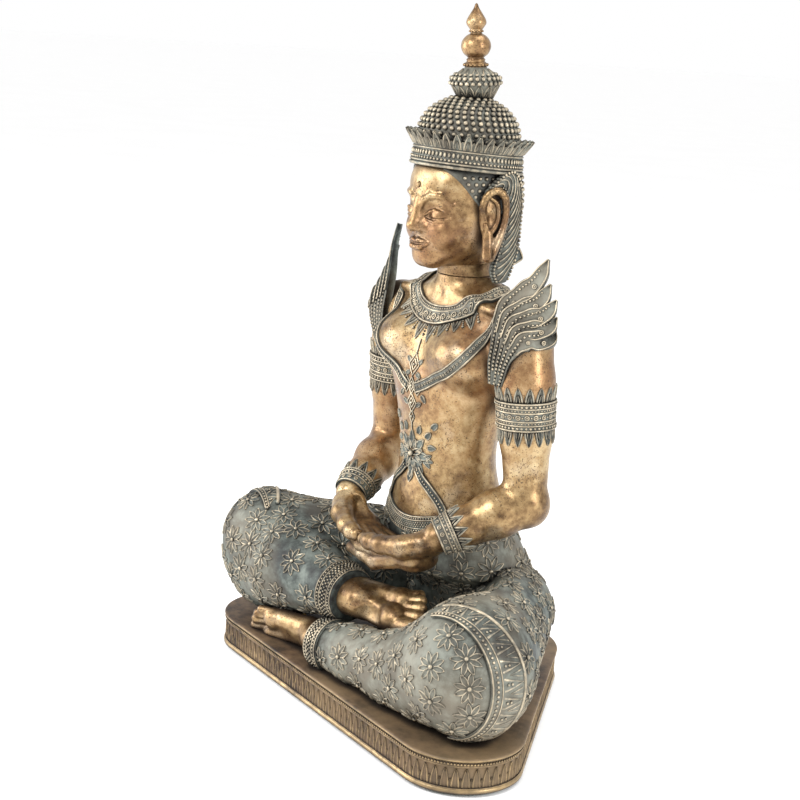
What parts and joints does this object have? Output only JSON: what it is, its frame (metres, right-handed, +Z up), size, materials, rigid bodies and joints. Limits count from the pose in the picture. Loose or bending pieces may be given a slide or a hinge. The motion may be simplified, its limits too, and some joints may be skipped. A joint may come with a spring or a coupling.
{
  "type": "crowned buddha statue",
  "caption": "Seated crowned Buddha in meditation, cast in doweled sections with bronze and gold finish, on a three-cornered plinth; decorative devotional figure for a shelf, altar or table",
  "frame": {"origin": "centre of the underside of the felt pad, on the surface the statue stands on", "axes": "+Z up along the statue, -Y the way it faces, +X to the statue's own left"},
  "size_m": [0.373, 0.2377, 0.5601],
  "materials": {
    "gold_leaf": "worn gold leaf over brown bronze resin, speckled",
    "patina": "grey-green verdigris with gold-rubbed high points",
    "plinth_bronze": "brown bronze, edges rubbed to gold",
    "raw_resin": "unpainted casting resin",
    "steel": "zinc plated",
    "brass_insert": "turned brass",
    "felt": "dark green felt"
  },
  "bodies": {
    "root": {"belt": "patina", "body_screws": "steel", "chest_harness": "patina", "cover_screws": "steel", "crown_band": "patina", "crown_dome": "patina", "crown_dowel": "steel", "crown_knob": "gold_leaf", "felt_pad": "felt", "finial": "gold_leaf", "finial_stud": "steel", "head": "gold_leaf", "hip_dowel": "steel", "left_ankle_cuff": "patina", "left_arm": "gold_leaf", "left_arm_dowel": "steel", "left_armlet": "patina", "left_bracelet": "patina", "left_ear": "gold_leaf", "left_ear_wing": "patina", "left_foot": "gold_leaf", "left_hand": "gold_leaf", "left_knee_band": "patina", "left_leg": "patina", "left_shoulder_wing": "patina", "neck_dowel": "steel", "necklace": "patina", "plinth": "plinth_bronze", "plinth_cover": "raw_resin", "right_ankle_cuff": "patina", "right_arm": "gold_leaf", "right_arm_dowel": "steel", "right_armlet": "patina", "right_bracelet": "patina", "right_ear": "gold_leaf", "right_ear_wing": "patina", "right_foot": "gold_leaf", "right_hand": "gold_leaf", "right_knee_band": "patina", "right_leg": "patina", "right_shoulder_wing": "patina", "seat": "patina", "threaded_inserts": "brass_insert", "torso": "gold_leaf"}
  },
  "joints": []
}
